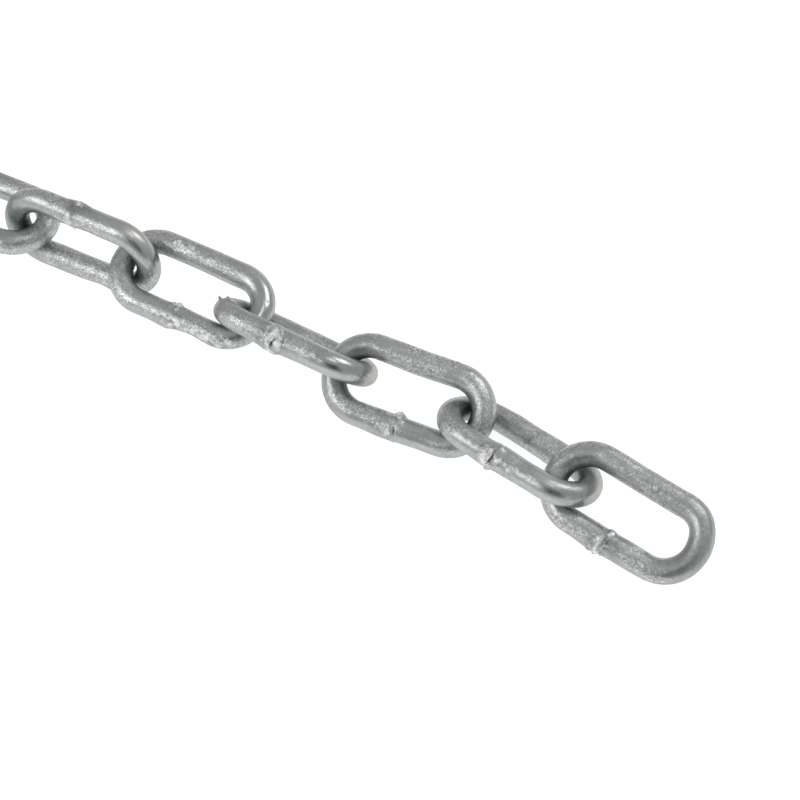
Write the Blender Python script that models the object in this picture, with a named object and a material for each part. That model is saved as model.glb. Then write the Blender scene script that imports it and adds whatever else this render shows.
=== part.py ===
# One metre of hot-dip galvanised welded steel chain, laid out on a level floor.
# Every link is one bent round bar, butt welded on one leg and hooked through its two neighbours.
# Metres, +Z up. The origin is the centre of the chain's box, at floor level.

import math
from typing import NamedTuple

import bpy
import numpy as np
from mathutils import Euler, Vector

# Sizes of one link
WIRE = 0.008
INSIDE_LENGTH = 0.041
OUTSIDE_WIDTH = 0.030
WELD_SWELL = 1.07
WELD_HALF_LENGTH = 0.003
WELD_HALF_CREST = 0.0012

# Twenty-four links make 24 x 41 + 2 x 8 = 1000 mm of chain when it is pulled straight.
LINK_COUNT = 24

# Clearance between two bows that bear on each other, in the links at the free end and in the rest
SEAT_GAP = 0.0004
LOOSER_GAP = 0.0009

# How finely those clearances are measured along the wire, and found by search
MEASURED_EVERY = 0.0005
SEARCH_STEP = 0.0005
SEARCH_END = 0.00001

# How finely a link is drawn
BOW_STEPS = 9
WIRE_BEVEL_RESOLUTION = 3

# The rest of the chain lies straight, then in one steady bend, then straight again. Its links
# lean to either side by turns, and settle to one angle from an uneven start.
SETTLED_LEAN = 45.0
UNEVEN_START = 8.0
UNEVEN_KEEP = 0.4
BEND_FROM = 10
BEND_TO = 19
BEND_PER_LINK = 14.0

CENTRE_RADIUS = (OUTSIDE_WIDTH - WIRE) / 2
HALF_STRAIGHT = (INSIDE_LENGTH + WIRE) / 2 - CENTRE_RADIUS
HALF_CENTRE_LENGTH = HALF_STRAIGHT + CENTRE_RADIUS


class Lie(NamedTuple):
    """How one link lies. Angles are in degrees, lengths in metres."""

    heading: float  # where the link points on the floor
    lean: float  # its roll about its length, which lifts the leg without the weld
    dip: float = 0.0  # how much its front end is down
    aside: float = 0.0  # how far its front bow sits sideways in the bow ahead
    rise: float = 0.0  # how far its two neighbours carry it off the floor
    weld: float = 0.0  # where its weld is, from the middle of the leg towards the front
    gap: float = SEAT_GAP  # its clearance to the link ahead


# The links at the free end, from the end on
SEEN_LINKS = [
    Lie(heading=-8.5, lean=24.8, dip=2.8, weld=-0.0013),
    Lie(heading=-9.6, lean=-33.6, aside=-0.0007, weld=-0.0031),
    Lie(heading=3.0, lean=27.4, dip=0.8, aside=-0.0007, rise=0.0019),
    Lie(heading=-1.6, lean=-52.8, dip=2.9, aside=0.0018, weld=-0.0029),
    Lie(heading=-0.5, lean=12.0, dip=1.2, aside=0.0023, rise=0.0074),
    Lie(heading=0.5, lean=-100.8, aside=0.0002, weld=-0.0018),
    Lie(heading=0.6, lean=-9.0, rise=0.0069),
]


def clear_scene():
    for obj in list(bpy.data.objects):
        bpy.data.objects.remove(obj, do_unlink=True)


def zinc_material():
    material = bpy.data.materials.new("galvanised_steel")
    material.use_nodes = True
    shader = material.node_tree.nodes["Principled BSDF"]
    shader.inputs["Base Color"].default_value = (0.33, 0.35, 0.35, 1.0)
    shader.inputs["Metallic"].default_value = 0.85
    shader.inputs["Roughness"].default_value = 0.48
    return material


def bow(end, steps):
    """The wire's centre line round one bow, clockwise from above. End is 1 at the front, -1 at the rear."""
    points = []
    for step in range(steps + 1):
        angle = end * math.pi / 2 - math.pi * step / steps
        along = end * HALF_STRAIGHT + CENTRE_RADIUS * math.cos(angle)
        points.append((along, CENTRE_RADIUS * math.sin(angle), 0.0))
    return points


def fine_centre_line():
    """The whole centre line as closely spaced points, to measure clearances with."""
    bow_steps = round(math.pi * CENTRE_RADIUS / MEASURED_EVERY)
    corners = bow(1, bow_steps) + bow(-1, bow_steps)
    legs = []
    for side in (1, -1):
        for along in np.arange(-HALF_STRAIGHT, HALF_STRAIGHT, MEASURED_EVERY):
            legs.append((along, side * CENTRE_RADIUS, 0.0))
    return np.array(corners + legs)


def turn_of(lie):
    angles = (math.radians(lie.lean), math.radians(lie.dip), math.radians(lie.heading))
    return Euler(angles, "XYZ")


def turned(points, lie):
    return points @ np.array(turn_of(lie).to_matrix()).T


def clearance(line, other_line):
    """The gap between the surfaces of two links, from their centre lines."""
    apart = line[:, None, :] - other_line[None, :, :]
    return math.sqrt((apart**2).sum(axis=2).min()) - WIRE


def all_lies():
    """How every link lies. The unseen ones follow the seen ones by rule."""
    lies = list(SEEN_LINKS)
    heading = lies[-1].heading
    for index in range(len(SEEN_LINKS), LINK_COUNT):
        if BEND_FROM <= index < BEND_TO:
            heading -= BEND_PER_LINK
        steps_in = index - len(SEEN_LINKS)
        side = 1 if steps_in % 2 == 0 else -1
        lean = side * SETTLED_LEAN + UNEVEN_START * UNEVEN_KEEP**steps_in
        weld = SEEN_LINKS[steps_in % len(SEEN_LINKS)].weld
        lies.append(Lie(heading=heading, lean=lean, weld=weld, gap=LOOSER_GAP))
    return lies


def drawn_up(line, lie, previous_line, rear_crown):
    """Where the link's centre is once it is drawn back until its front bow bears on the bow ahead."""
    heading = math.radians(lie.heading)
    pointing = np.array([math.cos(heading), math.sin(heading), 0])
    across = np.array([-pointing[1], pointing[0], 0])
    start = rear_crown * (1, 1, 0) + lie.aside * across - HALF_CENTRE_LENGTH * pointing
    loose = WIRE / 2
    while clearance(line + start + loose * pointing, previous_line) < lie.gap:
        loose += SEARCH_STEP
    tight = loose - SEARCH_STEP
    while loose - tight > SEARCH_END:
        middle = (tight + loose) / 2
        if clearance(line + start + middle * pointing, previous_line) < lie.gap:
            tight = middle
        else:
            loose = middle
    return start + loose * pointing


def lay_out(lies):
    """The place of each link's centre. Each lies on the floor or as high as its neighbours hold it."""
    bare_line = fine_centre_line()
    rear_crown_of_bare = np.array([-HALF_CENTRE_LENGTH, 0, 0])
    places = []
    previous_line = None
    for lie in lies:
        line = turned(bare_line, lie)
        place = np.array([0, 0, WIRE / 2 - line[:, 2].min() + lie.rise])
        if previous_line is not None:
            place += drawn_up(line + place, lie, previous_line, rear_crown)
        places.append(place)
        previous_line = line + place
        rear_crown = place + turned(rear_crown_of_bare, lie)
    return places


def wire_points(weld):
    """(point, thickness) round the link. The weld's swelling is on the leg between the two bows."""
    front = [(point, 1.0) for point in bow(1, BOW_STEPS)]
    rear = [(point, 1.0) for point in bow(-1, BOW_STEPS)]
    swelling = []
    for offset, thickness in (
        (WELD_HALF_LENGTH, 1.0),
        (WELD_HALF_CREST, WELD_SWELL),
        (-WELD_HALF_CREST, WELD_SWELL),
        (-WELD_HALF_LENGTH, 1.0),
    ):
        swelling.append(((weld + offset, -CENTRE_RADIUS, 0.0), thickness))
    return front + swelling + rear


def make_link(name, weld, material, collection):
    curve = bpy.data.curves.new(name, "CURVE")
    curve.dimensions = "3D"
    curve.bevel_depth = WIRE / 2
    curve.bevel_resolution = WIRE_BEVEL_RESOLUTION
    spline = curve.splines.new("POLY")
    points = wire_points(weld)
    spline.points.add(len(points) - 1)
    for spline_point, (point, thickness) in zip(spline.points, points):
        spline_point.co = (*point, 1.0)
        spline_point.radius = thickness
    spline.use_cyclic_u = True
    spline.use_smooth = True
    curve.materials.append(material)
    link = bpy.data.objects.new(name, curve)
    collection.objects.link(link)
    return link


def box_of(links):
    """The lowest and highest corners of the finished links."""
    bpy.context.view_layer.update()
    graph = bpy.context.evaluated_depsgraph_get()
    corners = []
    for link in links:
        finished = link.evaluated_get(graph)
        mesh = finished.to_mesh()
        corners += [finished.matrix_world @ vertex.co for vertex in mesh.vertices]
        finished.to_mesh_clear()
    corners = np.array(corners)
    return corners.min(axis=0), corners.max(axis=0)


def build_chain():
    clear_scene()
    collection = bpy.data.collections.new("galvanised_chain")
    bpy.context.scene.collection.children.link(collection)
    material = zinc_material()
    lies = all_lies()
    links = []
    for number, (lie, place) in enumerate(zip(lies, lay_out(lies)), start=1):
        link = make_link(f"link_{number:02d}", lie.weld, material, collection)
        link.rotation_euler = turn_of(lie)
        link.location = place
        links.append(link)
    low, high = box_of(links)
    middle = Vector(((low[0] + high[0]) / 2, (low[1] + high[1]) / 2, low[2]))
    for link in links:
        link.location -= middle


build_chain()
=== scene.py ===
# One metre of hot-dip galvanised chain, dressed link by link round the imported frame.
# Metres, +Z up, in the frame's own coordinates.

import math
from typing import NamedTuple

import bpy
import numpy as np
from mathutils import Euler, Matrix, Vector, noise


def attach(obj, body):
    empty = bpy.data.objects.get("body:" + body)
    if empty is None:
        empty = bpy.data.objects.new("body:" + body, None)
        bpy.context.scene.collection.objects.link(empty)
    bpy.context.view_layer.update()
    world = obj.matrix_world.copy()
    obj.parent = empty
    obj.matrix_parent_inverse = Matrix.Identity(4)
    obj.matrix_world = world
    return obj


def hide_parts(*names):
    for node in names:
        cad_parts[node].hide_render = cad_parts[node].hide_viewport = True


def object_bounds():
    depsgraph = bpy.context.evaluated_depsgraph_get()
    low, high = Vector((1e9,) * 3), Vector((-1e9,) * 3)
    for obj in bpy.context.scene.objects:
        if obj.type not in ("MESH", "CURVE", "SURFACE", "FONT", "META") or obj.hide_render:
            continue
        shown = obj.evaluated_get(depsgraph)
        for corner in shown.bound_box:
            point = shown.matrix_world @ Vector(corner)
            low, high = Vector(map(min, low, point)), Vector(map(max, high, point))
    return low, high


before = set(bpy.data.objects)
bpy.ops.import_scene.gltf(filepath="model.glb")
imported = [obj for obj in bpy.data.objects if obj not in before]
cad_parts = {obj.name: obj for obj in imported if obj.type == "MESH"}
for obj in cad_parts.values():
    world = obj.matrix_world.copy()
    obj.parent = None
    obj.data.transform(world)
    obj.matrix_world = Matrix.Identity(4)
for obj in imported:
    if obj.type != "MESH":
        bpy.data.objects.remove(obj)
cad_low, cad_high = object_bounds()

# Link 1, the free end of the chain. It is a round steel bar bent to a long oval, its two ends butt
# welded in the middle of one leg, then dipped in molten zinc, which froze grey and grainy on it.
# Every other link is made the same way, so the bar, the weld and the zinc are described here.
BAR_RADIUS = 0.00398
BOW_RADIUS = 0.011
HALF_STRAIGHT = 0.0135
BAR_LENGTH = 4 * HALF_STRAIGHT + 2 * math.pi * BOW_RADIUS
MM = 1000


def bar_line(travel):
    """Points of the bent bar's centre line, and which way is out of the oval there.
    The travel is along the bar, from the middle of the welded leg to the front and round."""
    quarter = math.pi * BOW_RADIUS / 2
    points, outwards = [], []
    for distance in np.mod(travel, BAR_LENGTH):
        if distance < HALF_STRAIGHT:
            points.append((distance, -BOW_RADIUS, 0))
            outwards.append((0, -1, 0))
            continue
        distance -= HALF_STRAIGHT
        for end in (1, -1):
            if distance < 2 * quarter:
                turn = -end * math.pi / 2 + distance / BOW_RADIUS
                out = (math.cos(turn), math.sin(turn), 0)
                centre = end * HALF_STRAIGHT
                points.append((centre + BOW_RADIUS * out[0], BOW_RADIUS * out[1], 0))
                outwards.append(out)
                break
            distance -= 2 * quarter
            straight = 2 * HALF_STRAIGHT if end == 1 else HALF_STRAIGHT
            if distance < straight:
                points.append((end * (HALF_STRAIGHT - distance), end * BOW_RADIUS, 0))
                outwards.append((0, end, 0))
                break
            distance -= straight
    return np.array(points), np.array(outwards)


def lumps(places, size, seed):
    """Smooth uneven lumps of a given size over the places, mostly from -0.5 to 0.5."""
    shift = Vector((seed, 0, 0))
    values = [noise.noise(Vector(place) / size + shift) for place in places.reshape(-1, 3)]
    return np.array(values).reshape(places.shape[:-1])


def patchy(places, size, seed, usual, swing, most=1):
    """An amount that is uneven over the places: the usual one give or take the swing, from 0 up."""
    return np.clip(usual + swing * lumps(places, size, seed), 0, most)


class Weld(NamedTuple):
    """A weld and the marks in the zinc of its link. Lengths in millimetres, angles in degrees.
    Places along the bar count from the weld towards the front of the link. Round the bar, 0 is the
    outside of the oval and 90 is the link's own top.

    A mark fades out over its length along the bar and its spread round it. The kinds are:
    nib, a bead of metal; pit, a hollow darkened with painted shade; swell, a thicker place;
    bend, where the whole bar lies over towards the angle; crust, frost and dull, finishes of the
    zinc; and buff, a pale beige patch, which on link 6's front bow is a painted highlight. An
    amount below 0 takes away."""

    place: float  # from the middle of its leg
    collar: float  # height of the upset metal beside the seam
    slip: tuple  # (offset of the two ends, angle)
    drop: float = 0.12  # length over which the rear end steps down to the front end
    crack: tuple = (0, 1, 0, 1)  # (angle, spread, depth, width)
    marks: tuple = ()  # (kind, along, angle, amount, length, spread)
    folds: tuple = ()  # (angle, start, end, rise)


def places_on_bar(along, round_bar):
    """Points of the bare bar's skin, as if it closed in a plain ring, so that unevenness over them
    runs on without a join. Also the same points moved on to the seam."""
    across = BAR_RADIUS * MM * np.cos(np.radians(round_bar))
    upward = BAR_RADIUS * MM * np.sin(np.radians(round_bar))
    ring_radius = BAR_LENGTH * MM / (2 * math.pi)
    turn = along / ring_radius
    ring = ((ring_radius + across) * np.cos(turn), (ring_radius + across) * np.sin(turn))
    bar = np.stack([*ring, upward + 0 * turn], axis=-1)
    return bar, np.stack([0 * across, across, upward], axis=-1)


def apart(angle, other):
    """How far the first angle is from the other, from -180 to 180 degrees."""
    return (angle - other + 180) % 360 - 180


def off_mark(along, round_bar, at, angle, length, spread):
    """How far off a mark each place is, squared, counted in the mark's own length and spread."""
    around = BAR_LENGTH * MM
    off_along = ((along - at + around / 2) % around - around / 2) / length
    return off_along**2 + (apart(round_bar, angle) / spread) ** 2


# Millimetres: how far the seam wanders, how far the upset metal and the crust reach from it, which
# is further behind it than in front, and how far the slip of the two ends does.
SEAM_WANDER = 1.2
REAR_BEAD, FRONT_BEAD = 1.3, 0.9
REAR_CRUST, FRONT_CRUST = 2.2, 1.4
FRONT_CRUST_SHARE = 0.7
SLIP_REACH = 4

# A crack lies this many millimetres ahead of the seam and fades out over its reach along the bar.
# A fullness above 1 keeps its whole depth over part of its spread, and painted shade darkens it.
CRACK_AHEAD = 0.1
CRACK_REACH = 40
CRACK_FULLNESS = 1.5
CRACK_SHADE = 0.8

# Painted shade darkens the zinc inside the crown of each bow, where the links meet, over this
# length and this many degrees.
CROWN = (2 * HALF_STRAIGHT + math.pi * BOW_RADIUS) / 2 * MM
CROWN_SHADE_LENGTH, CROWN_SHADE_SPREAD = 8, 55
CROWN_SHADE = 0.5

# A nib falls off more steeply than other marks, and is a little rough and crusted. A deeper pit
# gets more painted shade, up to its most.
NIB_STEEPNESS = 1.4
NIB_ROUGHNESS = 0.3
NIB_CRUST = 0.3
PIT_EVENNESS = 0.9
PIT_SHADE, PIT_SHADE_PER_MM = 0.2, 2
PIT_SHADE_MOST = 0.9

# Folds wander by FOLD_WANDER degrees in all and are FOLD_WIDTH degrees wide to each side. They rise
# and die away over these lengths in millimetres.
FOLD_WANDER = 16
FOLD_WIDTH = 4.5
FOLD_START, FOLD_END = 1.0, 3.0

# Heights in millimetres: how rough the crust is, cut off at its hollows and its tops, and the long
# and the short unevenness of the whole bar. Smooth places keep the least of the short unevenness,
# and frost has the most.
CRUST_ROUGHNESS, CRUST_HOLLOW, CRUST_TOP = 0.28, -0.04, 0.3
LONG_RISE, SHORT_RISE = 0.14, 0.03
SHORT_LEAST, SHORT_MOST = 0.2, 1.3


def weld_relief(along, round_bar, weld, seed):
    """The relief in millimetres, the painted shade in its cracks, pits and bow crowns, and how
    crusted, frosted, dull and buff the zinc is there. Where frost is below 0 the zinc is smoother
    than elsewhere."""
    bar, bar_at_seam = places_on_bar(along, round_bar)
    seam = along - SEAM_WANDER * lumps(bar_at_seam, size=3.2, seed=seed)
    off_seam = np.abs(seam)
    front = 0.5 + 0.5 * np.tanh(seam / weld.drop)
    rear_bead = weld.collar * patchy(bar, size=2.5, seed=seed + 3, usual=0.8, swing=1.6, most=1.6)
    front_bead = weld.collar * patchy(bar, size=2.1, seed=seed + 4, usual=0.2, swing=1.6)
    height = (1 - front) * rear_bead * np.exp(-off_seam / REAR_BEAD)
    height += front * front_bead * np.exp(-off_seam / FRONT_BEAD)
    crusted = (1 - front) * np.exp(-off_seam / REAR_CRUST)
    crusted = crusted + FRONT_CRUST_SHARE * front * np.exp(-off_seam / FRONT_CRUST)
    crusted = crusted * patchy(bar, size=3.5, seed=seed + 5, usual=0.35, swing=1.8)

    angle, spread, depth, width = weld.crack
    off_crack = off_mark(along, round_bar, 0, angle, CRACK_REACH, spread)
    cracked = np.clip(CRACK_FULLNESS * np.exp(-off_crack), 0, 1)
    cracked = cracked * np.exp(-(((seam - CRACK_AHEAD) / width) ** 2))
    cracked = cracked * patchy(bar, size=1.6, seed=seed + 6, usual=0.8, swing=1.8) * (depth > 0)
    height -= depth * cracked
    # Painted shade inside the crown of each bow, where the next link lies, and in the crack.
    off_crown = (np.abs(along + weld.place) - CROWN) / CROWN_SHADE_LENGTH
    crown_shade = np.exp(-(off_crown**2) - ((round_bar - 180) / CROWN_SHADE_SPREAD) ** 2)
    painted_shade = np.maximum(CRACK_SHADE * cracked, CROWN_SHADE * crown_shade)

    finishes = {finish: np.zeros_like(height) for finish in ("frost", "dull", "buff_and_highlight")}
    ragged = patchy(bar, size=2.4, seed=seed + 9, usual=0.75, swing=1.6, most=1.5)
    rough = lumps(bar, size=0.8, seed=seed + 8)
    for kind, at, angle, amount, length, spread in weld.marks:
        distance = off_mark(along, round_bar, at, angle, length, spread)
        here = np.exp(-distance)
        if kind == "nib":
            steep = np.exp(-(distance**NIB_STEEPNESS))
            height += amount * steep * (1 + NIB_ROUGHNESS * rough)
            crusted = crusted + NIB_CRUST * steep
        elif kind == "pit":
            # A pit is darkened with painted shade, the more the deeper it is.
            hollow = here * np.clip(PIT_EVENNESS + rough, 0, 1)
            height -= amount * hollow
            painted_shade = painted_shade + min(PIT_SHADE_MOST, PIT_SHADE_PER_MM * amount + PIT_SHADE) * hollow
        elif kind == "swell":
            height += amount * here
        elif kind == "bend":
            height += amount * np.cos(np.radians(round_bar - angle)) * here
        elif kind == "crust":
            crusted = crusted + amount * ragged * here
        else:
            finishes[kind] += amount * here

    straight_bar = np.stack([along, 0 * along, 0 * along], axis=-1)
    for angle, start, end, rise in weld.folds:
        bent = round_bar + FOLD_WANDER * lumps(straight_bar, size=5, seed=seed + angle)
        line = np.exp(-((apart(bent, angle) / FOLD_WIDTH) ** 2))
        reach = np.clip((along - start) / FOLD_START, 0, 1)
        reach = reach * np.clip((end - along) / FOLD_END, 0, 1)
        height += rise * line * reach
    crusted = np.clip(crusted, 0, 1)
    height += crusted * np.clip(CRUST_ROUGHNESS * rough, CRUST_HOLLOW, CRUST_TOP)
    slip, slip_at = weld.slip
    offset = slip * (2 * front - 1) * np.exp(-off_seam / SLIP_REACH)
    height += offset * np.cos(np.radians(round_bar - slip_at))
    height += LONG_RISE * lumps(bar, size=9, seed=seed + 11)
    short = SHORT_RISE * lumps(bar, size=1.6, seed=seed + 13)
    height += short * np.clip(1 + finishes["frost"], SHORT_LEAST, SHORT_MOST)
    return height, {
        "crust": crusted,
        "painted_shade": np.clip(painted_shade, 0, 1),
        "frost": finishes["frost"],
        "dull": np.clip(finishes["dull"], 0, 1),
        "buff_and_highlight": np.clip(finishes["buff_and_highlight"], 0, 1),
    }


# Colours of the zinc. Where there are two, it goes unevenly from the one to the other.
SKIN = (0.29, 0.318, 0.32), (0.495, 0.513, 0.498)
DULL_SKIN = (0.25, 0.266, 0.262), (0.37, 0.382, 0.37)
# A pale beige patch, which on link 6's front bow stands for a painted highlight.
BUFF_AND_HIGHLIGHT_SKIN = (0.56, 0.55, 0.505)
FROSTED_ZINC = (0.245, 0.262, 0.257), (0.59, 0.606, 0.588)
FROST_SPECKS = (0.92, 0.925, 0.895)
WHITE_CRUST = (0.34, 0.355, 0.35), (0.8, 0.81, 0.785)
CRUST_SPECKS = (0.97, 0.97, 0.945)
CRUST_EDGE_DARK = (0.12, 0.125, 0.125)
# The last colour is painted shade, for the cracks, the pits and the insides of the bows.
HOLLOW_SHADE = (0.06, 0.063, 0.065)

# How strongly buff places, frost specks and the painted shade of small pits show, how dark the
# edge of the crust is from hollows to tops, and how much frost a mark of amount 1 brings.
BUFF_AND_HIGHLIGHT_SHOWS, SPECKS_SHOW, SMALL_PIT_SHADE_SHOWS = 0.8, 0.65, 0.4
CRUST_EDGE_DARK_SHOWS = (0.55, 0.05)
FROST_BY_MARK = 0.13

# Roughness of the skin and of the frost, and what smooth places, runs, mottles and crust or dull
# zinc add to it. Then how metallic the bare zinc is, and its crust and buff places.
SKIN_ROUGHNESS, FROST_ROUGHNESS = 0.35, 0.41
SMOOTH_ADDS, RUNS_ADD, MOTTLES_ADD, DULL_ADDS = -0.12, 0.04, 0.04, 0.1
ZINC_METALLIC, CRUST_METALLIC = 0.95, 0.55

# Relief too fine for the mesh, in metres. The first of two is on plain skin, the second on frost,
# crust and dull zinc. The smoothest places keep only a share of it.
HAMMERED_RELIEF = (0.00006, 0.00015)
GRAIN_RELIEF = (0.00003, 0.00011)
RUN_RELIEF = 0.00005
WRINKLE_RELIEF = 0.00008
SMOOTH_KEEPS = 0.35


def zinc_material():
    """Hot-dip zinc: smooth grey skin, frosted patches, runs along the bar, crust and pits."""
    material = bpy.data.materials.new("hot_dip_zinc")
    material.use_nodes = True
    nodes, links = material.node_tree.nodes, material.node_tree.links
    shader = nodes["Principled BSDF"]

    def add(kind, **settings):
        node = nodes.new(kind)
        for name, value in settings.items():
            setattr(node, name, value)
        return node

    def from_mesh(name):
        """What bend_link wrote at each place of the mesh."""
        return add("ShaderNodeAttribute", attribute_name=name).outputs["Fac"]

    def combined(operation, first, second):
        node = add("ShaderNodeMath", operation=operation)
        for socket, value in zip(node.inputs, (first, second)):
            if isinstance(value, (int, float)):
                socket.default_value = value
            else:
                links.new(value, socket)
        return node.outputs["Value"]

    def plus(first, second):
        return combined("ADD", first, second)

    def times(first, second):
        return combined("MULTIPLY", first, second)

    def larger(first, second):
        return combined("MAXIMUM", first, second)

    def curve(value, low, high, start=0.0, end=1.0):
        """The value between low and high, as start to end."""
        node = add("ShaderNodeMapRange")
        node.inputs["From Min"].default_value = low
        node.inputs["From Max"].default_value = high
        node.inputs["To Min"].default_value = start
        node.inputs["To Max"].default_value = end
        links.new(value, node.inputs["Value"])
        return node.outputs["Result"]

    def scaled(amount, start, end):
        """The start value where the amount is 0 and the end value where it is 1."""
        return curve(amount, 0, 1, start, end)

    def blend(amount, first, second):
        """The first colour where the amount is 0 and the second where it is 1."""
        node = add("ShaderNodeMix", data_type="RGBA")
        links.new(amount, node.inputs["Factor"])
        for socket, value in ((node.inputs["A"], first), (node.inputs["B"], second)):
            if isinstance(value, tuple):
                socket.default_value = (*value, 1.0)
            else:
                links.new(value, socket)
        return node.outputs["Result"]

    bar = add("ShaderNodeAttribute", attribute_name="bar").outputs["Vector"]
    upward = from_mesh("upward")
    crust = from_mesh("crust")
    painted_shade = from_mesh("painted_shade")
    frosty_place = from_mesh("frost")
    dull = from_mesh("dull")
    buff_and_highlight = from_mesh("buff_and_highlight")

    def pattern(per_metre, detail=3.0, roughness=0.5, stretch=1.0):
        """Lumps all over the closed bar, without a join, so many to the metre. A stretch below 1
        draws them out along the bar."""
        ring = per_metre * stretch * BAR_LENGTH / (2 * math.pi)
        spread = add("ShaderNodeMapping")
        spread.inputs["Scale"].default_value = (ring, ring, per_metre)
        links.new(bar, spread.inputs["Vector"])
        texture = add("ShaderNodeTexNoise", noise_dimensions="4D")
        texture.inputs["Scale"].default_value = 1.0
        texture.inputs["Detail"].default_value = detail
        texture.inputs["Roughness"].default_value = roughness
        links.new(spread.outputs["Vector"], texture.inputs["Vector"])
        links.new(times(upward, per_metre), texture.inputs["W"])
        return texture.outputs["Fac"]

    # Where the zinc is smooth, frosted, hammered, grainy, run, cloudy, wrinkled or crusty, and
    # where small pits carry painted shade
    smooth = curve(frosty_place, -1.0, 0.0, start=1.0, end=0.0)
    frost = pattern(per_metre=140, detail=4.0, roughness=0.6, stretch=0.5)
    frost = curve(plus(frost, times(frosty_place, FROST_BY_MARK)), 0.47, 0.63)
    hammered = pattern(per_metre=950, detail=3.0, roughness=0.6)
    mottle = curve(hammered, 0.36, 0.64)
    grain = pattern(per_metre=2300, detail=2.0, roughness=0.6)
    specks = curve(grain, 0.54, 0.64)
    fine = curve(grain, 0.36, 0.64)
    runs = pattern(per_metre=900, detail=3.0, stretch=0.05)
    cloud = pattern(per_metre=260, detail=5.0, roughness=0.6, stretch=0.5)
    cloud = curve(cloud, 0.35, 0.65)
    small_pit_shade = curve(pattern(per_metre=800, detail=1.0), 0.75, 0.79)
    off_line = combined("SUBTRACT", pattern(per_metre=520, detail=3.0, roughness=0.6), 0.5)
    wrinkles = curve(combined("ABSOLUTE", off_line, 0.0), 0.0, 0.045, start=1.0, end=0.0)
    crusty = curve(crust, 0.15, 0.6)
    crusty = larger(crusty, times(wrinkles, curve(crust, 0.04, 0.2, end=0.75)))
    inside_rim = curve(crust, 0.14, 0.3, start=1.0, end=0.0)
    rim = combined("MINIMUM", curve(crust, 0.02, 0.1), inside_rim)

    # Colour
    shade = plus(plus(times(cloud, 0.5), times(mottle, 0.25)), times(fine, 0.25))
    skin = blend(shade, *SKIN)
    skin = blend(dull, skin, blend(mottle, *DULL_SKIN))
    # Pale beige patches, one of them a painted highlight on link 6's front bow.
    skin = blend(times(buff_and_highlight, BUFF_AND_HIGHLIGHT_SHOWS), skin, BUFF_AND_HIGHLIGHT_SKIN)
    frosted = blend(plus(times(mottle, 0.5), times(fine, 0.5)), *FROSTED_ZINC)
    frosted = blend(times(specks, SPECKS_SHOW), frosted, FROST_SPECKS)
    colour = blend(frost, skin, frosted)
    white_crust = blend(mottle, *WHITE_CRUST)
    white_crust = blend(larger(specks, wrinkles), white_crust, CRUST_SPECKS)
    # The edge of the crust is darker.
    colour = blend(times(rim, scaled(mottle, *CRUST_EDGE_DARK_SHOWS)), colour, CRUST_EDGE_DARK)
    colour = blend(crusty, colour, white_crust)
    # Painted shade in the cracks, the pits and the insides of the bows.
    colour = blend(larger(painted_shade, times(small_pit_shade, SMALL_PIT_SHADE_SHOWS)), colour, HOLLOW_SHADE)
    links.new(colour, shader.inputs["Base Color"])

    # Gloss
    rough = scaled(frost, SKIN_ROUGHNESS, FROST_ROUGHNESS)
    rough = plus(rough, scaled(smooth, 0.0, SMOOTH_ADDS))
    rough = plus(rough, curve(runs, 0.35, 0.65, start=-RUNS_ADD, end=RUNS_ADD))
    rough = plus(rough, scaled(mottle, MOTTLES_ADD, -MOTTLES_ADD))
    rough = plus(rough, scaled(larger(crusty, dull), 0.0, DULL_ADDS))
    links.new(rough, shader.inputs["Roughness"])
    metallic = scaled(larger(crusty, buff_and_highlight), ZINC_METALLIC, CRUST_METALLIC)
    links.new(metallic, shader.inputs["Metallic"])
    shader.inputs["Specular Tint"].default_value = (0.8, 0.8, 0.8, 1)

    # Fine relief
    grown = larger(larger(frost, crusty), dull)
    relief = times(hammered, scaled(grown, *HAMMERED_RELIEF))
    relief = plus(relief, scaled(runs, 0.0, RUN_RELIEF))
    relief = plus(relief, times(grain, scaled(grown, *GRAIN_RELIEF)))
    relief = times(relief, scaled(smooth, 1.0, SMOOTH_KEEPS))
    relief = plus(relief, times(times(wrinkles, crusty), WRINKLE_RELIEF))
    bump = add("ShaderNodeBump")
    bump.inputs["Strength"].default_value = 1.0
    bump.inputs["Distance"].default_value = 1.0
    links.new(relief, bump.inputs["Height"])
    links.new(bump.outputs["Normal"], shader.inputs["Normal"])
    return material


class Rings(NamedTuple):
    """How finely a link is drawn: metres from ring to ring, and points round each ring."""

    at_weld: float
    elsewhere: float
    points: int


class Lie(NamedTuple):
    """How a link lies, in degrees."""

    heading: float  # where it points on the floor
    lean: float  # its roll about its length, which lifts the leg without the weld
    dip: float = 0.0  # how much its front end is down


CLOSE_RINGS = Rings(at_weld=0.00012, elsewhere=0.00032, points=72)
PLAIN_RINGS = Rings(at_weld=0.00025, elsewhere=0.0006, points=40)
SEED_STEP = 31.7

# Metres: how far from the seam the rings stay closer, over what depth the bar is eased in at a
# wall, and how far inside the straight legs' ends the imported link's bows are looked for.
WELD_ZONE = 0.007
EASE_IN = 0.00005
BOW_SLACK = 0.0002


def laid(points, name, lie):
    """The points turned as the link lies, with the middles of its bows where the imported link's are.
    The bar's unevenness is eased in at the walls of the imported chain's box."""
    angles = (math.radians(lie.lean), math.radians(lie.dip), math.radians(lie.heading))
    axes = np.array(Euler(angles, "XYZ").to_matrix())
    packed = np.array([vertex.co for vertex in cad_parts[name].data.vertices]) @ axes
    middle = (packed.min(axis=0) + packed.max(axis=0)) / 2
    bows = packed[np.abs(packed[:, 0] - middle[0]) > HALF_STRAIGHT - BOW_SLACK]
    points = (points + (bows.min(axis=0) + bows.max(axis=0)) / 2) @ axes.T
    for inwards, wall in ((1, np.array(cad_low)), (-1, np.array(cad_high))):
        depth = inwards * (points - wall)
        points = wall + inwards * (depth + np.sqrt(depth**2 + 4 * EASE_IN**2)) / 2
    return points


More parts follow.
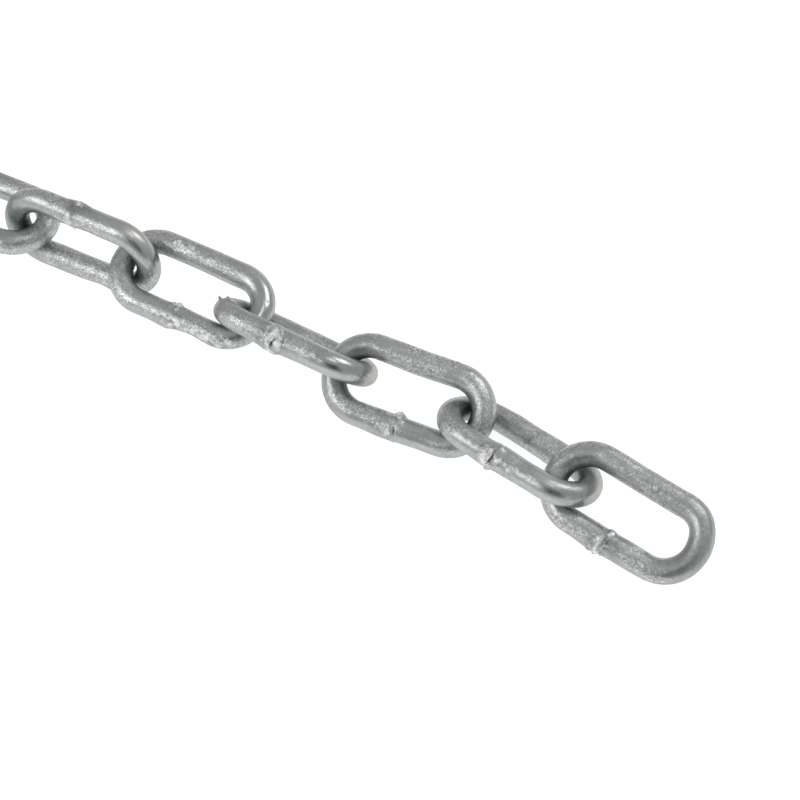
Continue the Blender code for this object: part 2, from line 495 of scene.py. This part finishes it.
def zinc_skin(name, points, attributes):
    """A closed mesh through rings of points, with a value of each attribute for every point."""
    ring_count, round_count = points.shape[:2]
    index = np.arange(ring_count * round_count).reshape(ring_count, round_count)
    ahead = np.roll(index, -1, axis=0)
    beside = np.roll(index, -1, axis=1)
    both = np.roll(ahead, -1, axis=1)
    faces = np.stack([index, ahead, both, beside], axis=-1).reshape(-1, 4)
    mesh = bpy.data.meshes.new(name)
    mesh.from_pydata(points.reshape(-1, 3).tolist(), [], faces.tolist())
    mesh.shade_smooth()
    for attribute, values in attributes.items():
        kind, field = ("FLOAT_VECTOR", "vector") if values.ndim == 3 else ("FLOAT", "value")
        data = mesh.attributes.new(attribute, kind, "POINT").data
        data.foreach_set(field, values.ravel())
    mesh.materials.append(zinc)
    return mesh


def bend_link(number, lie, weld, rings):
    """One link, bent and welded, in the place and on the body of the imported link."""
    name = f"link_{number:02d}"
    travel = np.concatenate(
        [
            np.arange(0, WELD_ZONE, rings.at_weld),
            np.arange(WELD_ZONE, BAR_LENGTH - WELD_ZONE, rings.elsewhere),
            np.arange(BAR_LENGTH - WELD_ZONE, BAR_LENGTH, rings.at_weld),
        ]
    )
    round_bar = np.arange(rings.points) * 360.0 / rings.points
    turn = np.radians(round_bar)
    along = np.where(travel > BAR_LENGTH / 2, travel - BAR_LENGTH, travel)[:, None] * MM
    height, finishes = weld_relief(along, round_bar[None, :], weld, SEED_STEP * number)
    radius = BAR_RADIUS + height / MM
    centres, outwards = bar_line(travel + weld.place / MM)
    points = centres[:, None, :] + (radius * np.cos(turn))[..., None] * outwards[:, None, :]
    points[..., 2] += radius * np.sin(turn)

    bar = np.zeros(points.shape)
    bar[..., 0] = np.cos(travel * 2 * math.pi / BAR_LENGTH)[:, None]
    bar[..., 1] = np.sin(travel * 2 * math.pi / BAR_LENGTH)[:, None]
    bar[..., 2] = BAR_RADIUS * np.cos(turn)
    upward = np.tile(number + BAR_RADIUS * np.sin(turn), (len(travel), 1))
    attributes = {"bar": bar, "upward": upward, **finishes}
    mesh = zinc_skin(name + "_zinc", laid(points, name, lie), attributes)
    link = bpy.data.objects.new("chain_" + name, mesh)
    bpy.context.scene.collection.objects.link(link)
    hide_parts(name)
    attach(link, name)


zinc = zinc_material()
end_weld = Weld(
    place=-1.3,
    collar=0.22,
    slip=(0.16, 235),
    marks=(
        ("nib", 1.0, 158, 0.65, 1.1, 17),
        ("nib", -3.0, 0, 0.35, 0.8, 16),
        ("nib", -1.0, -4, 0.45, 0.7, 14),
        ("nib", 0.9, 5, 0.3, 0.6, 14),
        ("nib", -0.8, 62, 0.25, 0.8, 34),
        ("crust", -0.6, 60, 0.5, 0.6, 34),
        ("swell", -2.5, 353, 0.45, 4.5, 50),
        ("swell", 7.5, 173, 0.3, 5.0, 50),
        ("pit", 1.2, 92, 0.3, 1.1, 17),
        ("pit", 0.2, 51, 0.15, 0.5, 8),
        ("pit", 16.1, 75, 0.12, 0.8, 8),
        ("frost", -8.0, 62, 1.8, 7.0, 38),
        ("frost", 9.5, 80, 0.9, 7.0, 36),
        ("dull", 3.2, 82, 1.2, 4.0, 50),
        ("frost", 3.2, 82, -1.2, 3.2, 45),
        ("crust", 2.2, 80, -0.5, 1.2, 40),
        ("crust", 6.1, 87, 0.4, 1.2, 12),
        ("crust", 9.3, 150, 0.5, 3.0, 20),
        ("crust", 13.3, 87, 0.5, 2.0, 12),
        ("frost", -10.2, 126, 0.8, 3.0, 20),
        ("frost", 20.9, 48, 0.9, 8.0, 25),
        ("frost", 33.0, 30, 0.8, 5.0, 20),
        ("frost", 39.3, 60, 0.7, 8.0, 18),
        ("frost", -47.4, 93, 0.9, 9.0, 9),
        ("frost", 61.3, 96, 0.9, 3.5, 9),
        ("dull", -58.0, 90, 0.65, 20.0, 200),
        ("frost", -56.0, 60, -0.6, 14.0, 60),
        ("dull", 29.0, 100, 0.5, 10.0, 200),
        ("frost", 26.0, 20, -1.0, 6.0, 45),
        ("nib", 58.9, 96, 0.06, 1.2, 14),
        ("pit", 57.9, 92, 0.05, 0.7, 14),
        ("pit", -57.0, 84, 0.08, 0.5, 6),
    ),
)

# The free bow was bent a little askew. No other link has that, because it would take up the room in
# which its neighbour turns.
ALL_ROUND = 1e6
skewed_bow = (("bend", 26.0, 180, 0.42, 13.0, ALL_ROUND), ("bend", 43.0, 0, 0.6, 5.0, ALL_ROUND))
free_end = end_weld._replace(marks=end_weld.marks + skewed_bow)
bend_link(1, Lie(heading=-8.5, lean=24.8, dip=2.8), free_end, CLOSE_RINGS)


# Link 2, of the same galvanised steel bar, is hooked through links 1 and 3 and stands more steeply.
# Its butt weld has an open crack across the bar, with thick white crust behind it and thin folds of
# zinc running forward from it. Its far leg is dull and dark.
cracked_weld = Weld(
    place=-3.1,
    collar=0.3,
    slip=(0.15, 30),
    drop=0.3,
    crack=(22, 38, 0.45, 0.28),
    marks=(
        ("nib", 0.4, 88, 0.35, 2.2, 24),
        ("nib", -0.4, -60, 0.7, 1.0, 22),
        ("pit", 0.3, -6, 0.2, 0.7, 16),
        ("pit", 3.5, 12, 0.12, 0.5, 8),
        ("swell", -2.2, 294, 0.45, 3.5, 45),
        ("swell", 3.5, 114, 0.35, 4.0, 40),
        ("swell", 60.0, 246, 0.4, 6.0, 50),
        ("swell", -51.0, 66, 0.3, 4.0, 45),
        ("crust", -1.4, 14, 0.7, 1.1, 26),
        ("nib", -1.9, 10, 0.4, 1.7, 34),
        ("crust", 2.4, 22, 0.7, 1.4, 16),
        ("crust", 0.6, 78, -1.4, 2.5, 34),
        ("frost", 27.0, 40, -0.6, 8.0, 90),
        ("frost", 9.0, 20, 0.3, 6.0, 30),
        ("crust", 6.3, 6, 0.5, 1.2, 10),
        ("frost", -12.0, 42, 1.5, 9.0, 30),
        ("frost", -26.0, 95, -0.7, 10.0, 50),
        ("frost", 25.5, 60, 0.8, 5.0, 16),
        ("buff_and_highlight", 35.5, 36, 0.9, 4.0, 60),
        ("dull", -56.0, 150, 1.0, 18.0, 60),
        ("frost", -58.0, 130, 0.7, 14.0, 50),
        ("pit", -58.8, 228, 0.15, 0.5, 10),
        ("pit", -58.0, 162, 0.15, 1.0, 26),
        ("pit", -56.6, 176, 0.12, 0.5, 10),
        ("pit", -47.5, 150, 0.05, 3.5, 7),
        ("nib", 58.3, 240, 0.3, 0.9, 12),
    ),
    folds=(
        (43, 8, 18, 0.13),
        (28, 1.5, 7, 0.1),
        (15, 2.5, 9, 0.12),
        (150, -51, -44, -0.15),
    ),
)
bend_link(2, Lie(heading=-9.6, lean=-33.6), cracked_weld, CLOSE_RINGS)


# Link 3 lies fairly flat, carried by links 2 and 4. It is galvanised steel bar, and its butt weld
# is a low collar with a short notch and one rounded nib on the inside of the oval. Most of its
# highlights are speckled.
nibbed_weld = Weld(
    place=0.0,
    collar=0.24,
    slip=(0.14, 80),
    drop=0.6,
    crack=(69, 20, 0.35, 0.3),
    marks=(
        ("nib", 0.2, 172, 1.35, 1.6, 22),
        ("nib", 0.7, 132, 0.3, 1.5, 24),
        ("swell", -3.5, 355, 0.5, 6.0, 55),
        ("swell", 60.0, 185, 0.35, 9.0, 50),
        ("frost", 9.0, 60, -1.0, 6.0, 60),
        ("nib", 50.4, 18, 0.15, 1.0, 10),
        ("crust", -2.6, 62, 0.4, 2.5, 24),
        ("crust", 0.8, 110, -1.2, 2.6, 45),
        ("crust", 1.6, 60, -0.8, 1.6, 40),
        ("crust", 0.3, 138, 0.6, 0.6, 10),
        ("frost", -11.5, 87, 0.8, 6.0, 20),
        ("frost", -20.7, 72, 0.6, 6.0, 25),
        ("dull", -24.0, 50, 0.5, 8.0, 60),
        ("frost", -41.9, 93, 1.2, 5.0, 18),
        ("frost", -52.0, 111, 1.3, 5.0, 14),
        ("frost", 60.5, 110, 1.3, 5.0, 12),
        ("frost", 54.0, 99, 1.0, 3.0, 10),
        ("frost", 40.0, 75, 1.5, 7.0, 30),
        ("frost", 33.0, 90, 1.5, 7.0, 50),
    ),
)
bend_link(3, Lie(heading=3.0, lean=27.4, dip=0.8), nibbed_weld, CLOSE_RINGS)


# Link 4 stands steeply, hooked through links 3 and 5. It is galvanised steel bar, and its butt weld
# is two crusted lobes with a round scar above them. A spike of dross froze on the back of its rear
# bow as it came out of the zinc.
lobed_weld = Weld(
    place=-2.9,
    collar=0.3,
    slip=(0.1, 0),
    drop=0.3,
    crack=(-14, 27, 0.55, 0.35),
    marks=(
        ("nib", -1.6, -12, 0.35, 1.0, 26),
        ("nib", 1.9, -10, 0.4, 0.9, 24),
        ("nib", 1.0, 45, 0.3, 0.9, 14),
        ("swell", -1.8, 275, 0.7, 3.2, 45),
        ("swell", 4.0, 275, 0.25, 4.0, 45),
        ("nib", 1.0, -81, 0.45, 1.2, 18),
        ("nib", -25.6, 39, 1.1, 0.4, 5),
        ("nib", -27.8, 66, 0.3, 0.6, 8),
        ("pit", -26.6, 52, 0.08, 1.0, 12),
        ("pit", 1.0, 39, 0.3, 0.4, 6),
        ("pit", 3.3, 3, 0.25, 0.35, 14),
        ("pit", -33.4, 123, 0.1, 0.8, 10),
        ("crust", -1.7, -12, 1.3, 1.2, 30),
        ("crust", 1.9, -10, 1.8, 1.0, 28),
        ("dull", -1.0, 40, 0.8, 4.0, 34),
        ("crust", 1.0, 39, 0.7, 1.0, 12),
        ("crust", -3.4, 42, 0.4, 1.2, 14),
        ("crust", 12.9, 8, 0.3, 2.2, 16),
        ("frost", 12.5, 8, 1.3, 2.5, 18),
        ("frost", 21.0, 0, -1.1, 9.0, 90),
        ("frost", 6.0, 0, 0.3, 4.0, 30),
        ("frost", -18.0, 12, 0.6, 8.0, 30),
        ("frost", -25.0, 80, -0.6, 10.0, 45),
        ("buff_and_highlight", 32.5, 51, 0.9, 4.5, 60),
    ),
    folds=((36, 11, 17, 0.14), (30, 2, 9, 0.1)),
)
bend_link(4, Lie(heading=-1.6, lean=-52.8, dip=2.9), lobed_weld, CLOSE_RINGS)


# Link 5 lies nearly level, carried by links 4 and 6. It is galvanised steel bar. Its butt weld has
# nibs inside and outside the oval and a wide patch of crust in front of it, and there is more crust
# along its other leg.
patched_weld = Weld(
    place=0.0,
    collar=0.26,
    slip=(0.1, 60),
    drop=0.9,
    marks=(
        ("nib", -1.3, 156, 0.45, 1.7, 22),
        ("nib", 0.3, 154, 0.45, 1.0, 18),
        ("nib", -1.5, -10, 0.35, 1.8, 22),
        ("swell", -3.5, 340, 0.3, 2.5, 50),
        ("swell", 6.0, 340, -0.95, 6.0, 60),
        ("swell", 50.0, 200, 0.4, 7.0, 45),
        ("swell", 1.5, 160, 0.25, 3.0, 40),
        ("pit", 0.3, 84, 0.08, 0.9, 14),
        ("pit", 34.8, 60, 0.12, 0.5, 6),
        ("pit", 33.6, 36, 0.12, 2.5, 3),
        ("pit", 51.2, 123, 0.1, 0.6, 6),
        ("crust", -0.8, 55, -0.7, 2.6, 60),
        ("crust", 0.4, 111, 0.7, 0.7, 10),
        ("crust", -2.3, 30, 0.6, 1.2, 14),
        ("crust", -1.5, 69, 0.5, 0.8, 10),
        ("crust", 3.2, 55, 1.6, 1.6, 20),
        ("crust", 8.5, 47, 1.1, 4.0, 24),
        ("crust", 16.5, 36, 1.1, 4.0, 24),
        ("dull", 0.9, 62, 1.3, 2.0, 36),
        ("frost", 0.9, 62, -1.2, 2.0, 36),
        ("frost", 11.0, 50, 1.2, 9.0, 40),
        ("crust", -52.0, 99, 1.6, 2.6, 20),
        ("crust", -57.5, 97, 0.7, 2.5, 17),
        ("crust", 59.5, 111, 0.9, 3.0, 17),
        ("crust", 52.5, 126, 0.7, 2.2, 13),
        ("frost", -59.0, 110, 1.2, 10.0, 34),
        ("frost", 33.0, 70, -1.3, 9.0, 90),
        ("frost", -9.5, 58, 0.5, 6.0, 30),
        ("frost", -21.0, 58, 0.9, 8.0, 36),
        ("frost", -33.0, 90, 1.2, 9.0, 100),
    ),
)
bend_link(5, Lie(heading=-0.5, lean=12.0, dip=1.2), patched_weld, CLOSE_RINGS)


# Link 6, of galvanised steel bar, stands on edge, hooked through links 5 and 7. Its welded leg is
# on top, where the butt weld is a swollen, wrinkled patch. Both its legs glitter along the middle.
swollen_weld = Weld(
    place=-1.8,
    collar=0.2,
    slip=(0.08, 0),
    drop=1.2,
    marks=(
        ("nib", -0.2, 48, 0.55, 3.4, 32),
        ("nib", 0.7, 234, 0.4, 0.8, 12),
        ("swell", 6.0, 227, -0.3, 3.5, 40),
        ("swell", 56.0, 313, -0.45, 4.0, 45),
        ("pit", 0.2, 318, 0.1, 1.0, 18),
        ("dull", 0.5, 0, 1.1, 5.5, 55),
        ("crust", 0.0, 0, -0.35, 4.0, 60),
        ("frost", 0.0, 350, -1.2, 4.5, 60),
        ("dull", -0.8, 332, 0.9, 2.2, 28),
        ("frost", 34.0, 320, 1.8, 3.5, 40),
        ("crust", -1.5, 352, 0.3, 2.2, 26),
        ("crust", 2.4, 10, 0.3, 1.8, 24),
        ("frost", 30.0, 330, -1.0, 10.0, 100),
        # A pale patch on the front bow is a painted highlight, widening the one the lamps give.
        ("buff_and_highlight", 21.0, 352, 0.9, 4.0, 26),
        ("frost", 8.0, 292, 1.6, 9.0, 45),
        ("frost", -7.0, 290, 1.6, 6.0, 45),
        ("frost", 61.0, 225, 1.6, 18.0, 45),
        ("dull", -51.7, 213, 0.7, 5.0, 40),
    ),
)
bend_link(6, Lie(heading=0.5, lean=-100.8), swollen_weld, CLOSE_RINGS)


# Link 7 is a plain link of galvanised steel bar, butt welded like link 3. It is carried by links 6
# and 8.
last_close = Lie(heading=0.6, lean=-9.0)
bend_link(7, last_close, nibbed_weld, CLOSE_RINGS)


# Links 8 to 24 are the rest of the metre, of the same galvanised bar, each hooked through the one
# before it. They lean to either side by turns and go round a bend. Their welds are like those of
# the links at the free end, one after the other.
SETTLED_LEAN = 45.0
UNEVEN_START = 8.0
UNEVEN_KEEP = 0.4
BEND_FROM = 11
BEND_TO = 20
BEND_PER_LINK = 14.0

seen_welds = [
    end_weld,
    cracked_weld,
    nibbed_weld,
    lobed_weld,
    patched_weld,
    swollen_weld,
    nibbed_weld,
]
heading = last_close.heading
for steps_in, number in enumerate(range(8, 25)):
    if BEND_FROM <= number < BEND_TO:
        heading -= BEND_PER_LINK
    side = 1 if steps_in % 2 == 0 else -1
    lean = side * SETTLED_LEAN + UNEVEN_START * UNEVEN_KEEP**steps_in
    bend_link(number, Lie(heading, lean), seen_welds[steps_in % len(seen_welds)], PLAIN_RINGS)


# The camera looks down on the free end of the chain from about 0.7 m away. The chain runs out of
# its view at the left, so the bend beyond link 7 isn't seen.
CAMERA_TARGET = Vector((0.17004, -0.20385, 0.00028))
CAMERA_DISTANCE = 0.6886
CAMERA_AZIMUTH = -64
CAMERA_ELEVATION = 58
CAMERA_LENS = 97.85
CAMERA_SENSOR = 36
NEAREST_SEEN = 0.05


def way_out(azimuth, elevation):
    """The direction at an azimuth and elevation in degrees. Azimuth 0 is +X and 90 is +Y."""
    turn, lift = math.radians(azimuth), math.radians(elevation)
    level = math.cos(lift)
    return Vector((level * math.cos(turn), level * math.sin(turn), math.sin(lift)))


lens = bpy.data.cameras.new("camera")
lens.lens = CAMERA_LENS
lens.sensor_width = CAMERA_SENSOR
lens.clip_start = NEAREST_SEEN
camera = bpy.data.objects.new("camera", lens)
bpy.context.scene.collection.objects.link(camera)
camera.location = CAMERA_TARGET + CAMERA_DISTANCE * way_out(CAMERA_AZIMUTH, CAMERA_ELEVATION)
tilt, swing = math.radians(90 - CAMERA_ELEVATION), math.radians(90 + CAMERA_AZIMUTH)
camera.rotation_euler = (tilt, 0, swing)
bpy.context.scene.camera = camera


# The floor is a sheet of plain white paper that reaches far past the chain, a tenth of a millimetre
# below the links. A glow of its own brings it to an even white.
FLOOR_HALF = 12
FLOOR_DROP = 0.0001
PAPER_TONE = 0.45
PAPER_GLOW = 0.83


def flat_sheet(name, half, finish):
    """A flat square sheet, level and round the origin."""
    mesh = bpy.data.meshes.new(name)
    corners = [(-half, -half, 0), (half, -half, 0), (half, half, 0), (-half, half, 0)]
    mesh.from_pydata(corners, [], [(0, 1, 2, 3)])
    mesh.materials.append(finish)
    sheet = bpy.data.objects.new(name, mesh)
    bpy.context.scene.collection.objects.link(sheet)
    return sheet


paper = bpy.data.materials.new("white_paper")
paper.use_nodes = True
paper_shader = paper.node_tree.nodes["Principled BSDF"]
paper_shader.inputs["Base Color"].default_value = (PAPER_TONE, PAPER_TONE, PAPER_TONE, 1)
paper_shader.inputs["Roughness"].default_value = 0.8
paper_shader.inputs["Specular IOR Level"].default_value = 0.0
paper_shader.inputs["Emission Color"].default_value = (1, 1, 1, 1)
paper_shader.inputs["Emission Strength"].default_value = PAPER_GLOW
floor = flat_sheet("floor", FLOOR_HALF, paper)
floor.location = (0, 0, -FLOOR_DROP)


# Three soft boxes, to the left, to the right and overhead, light the chain, and the white room
# round them fills in the rest.
LAMP_DISTANCE = 1.1
ROOM_BRIGHTNESS = 0.56


def soft_box(name, azimuth, elevation, size, brightness):
    """A square soft box that faces the chain."""
    out = way_out(azimuth, elevation)
    lamp = bpy.data.lights.new(name, "AREA")
    lamp.size = size
    lamp.energy = math.pi * size**2 * brightness
    box = bpy.data.objects.new(name, lamp)
    bpy.context.scene.collection.objects.link(box)
    box.location = CAMERA_TARGET + LAMP_DISTANCE * out
    box.rotation_euler = out.to_track_quat("Z", "Y").to_euler()
    box.visible_camera = False


soft_box("left_box", azimuth=-132, elevation=36, size=0.62, brightness=2.8)
soft_box("right_box", azimuth=58, elevation=46, size=0.5, brightness=2.9)
soft_box("overhead_box", azimuth=25, elevation=78, size=0.35, brightness=1.6)
world = bpy.data.worlds.new("studio")
bpy.context.scene.world = world
world.use_nodes = True
room = world.node_tree.nodes["Background"]
room.inputs["Color"].default_value = (1, 1, 1, 1)
room.inputs["Strength"].default_value = ROOM_BRIGHTNESS
bpy.context.scene.view_settings.view_transform = "Standard"


# A black card stands beside the camera, out of the picture and without a shadow. The zinc mirrors
# it, which keeps the side that faces it from going flat.
CARD_HALF = 0.3
CARD_DISTANCE = 0.9
CARD_TONE = 0.02

black = bpy.data.materials.new("black_card")
black.use_nodes = True
black_shader = black.node_tree.nodes["Principled BSDF"]
black_shader.inputs["Base Color"].default_value = (CARD_TONE, CARD_TONE, CARD_TONE, 1)
card = flat_sheet("black_card", CARD_HALF, black)
card_out = way_out(azimuth=-66, elevation=38)
card.location = CAMERA_TARGET + CARD_DISTANCE * card_out
card.rotation_euler = card_out.to_track_quat("Z", "Y").to_euler()
card.visible_camera = False
card.visible_shadow = False
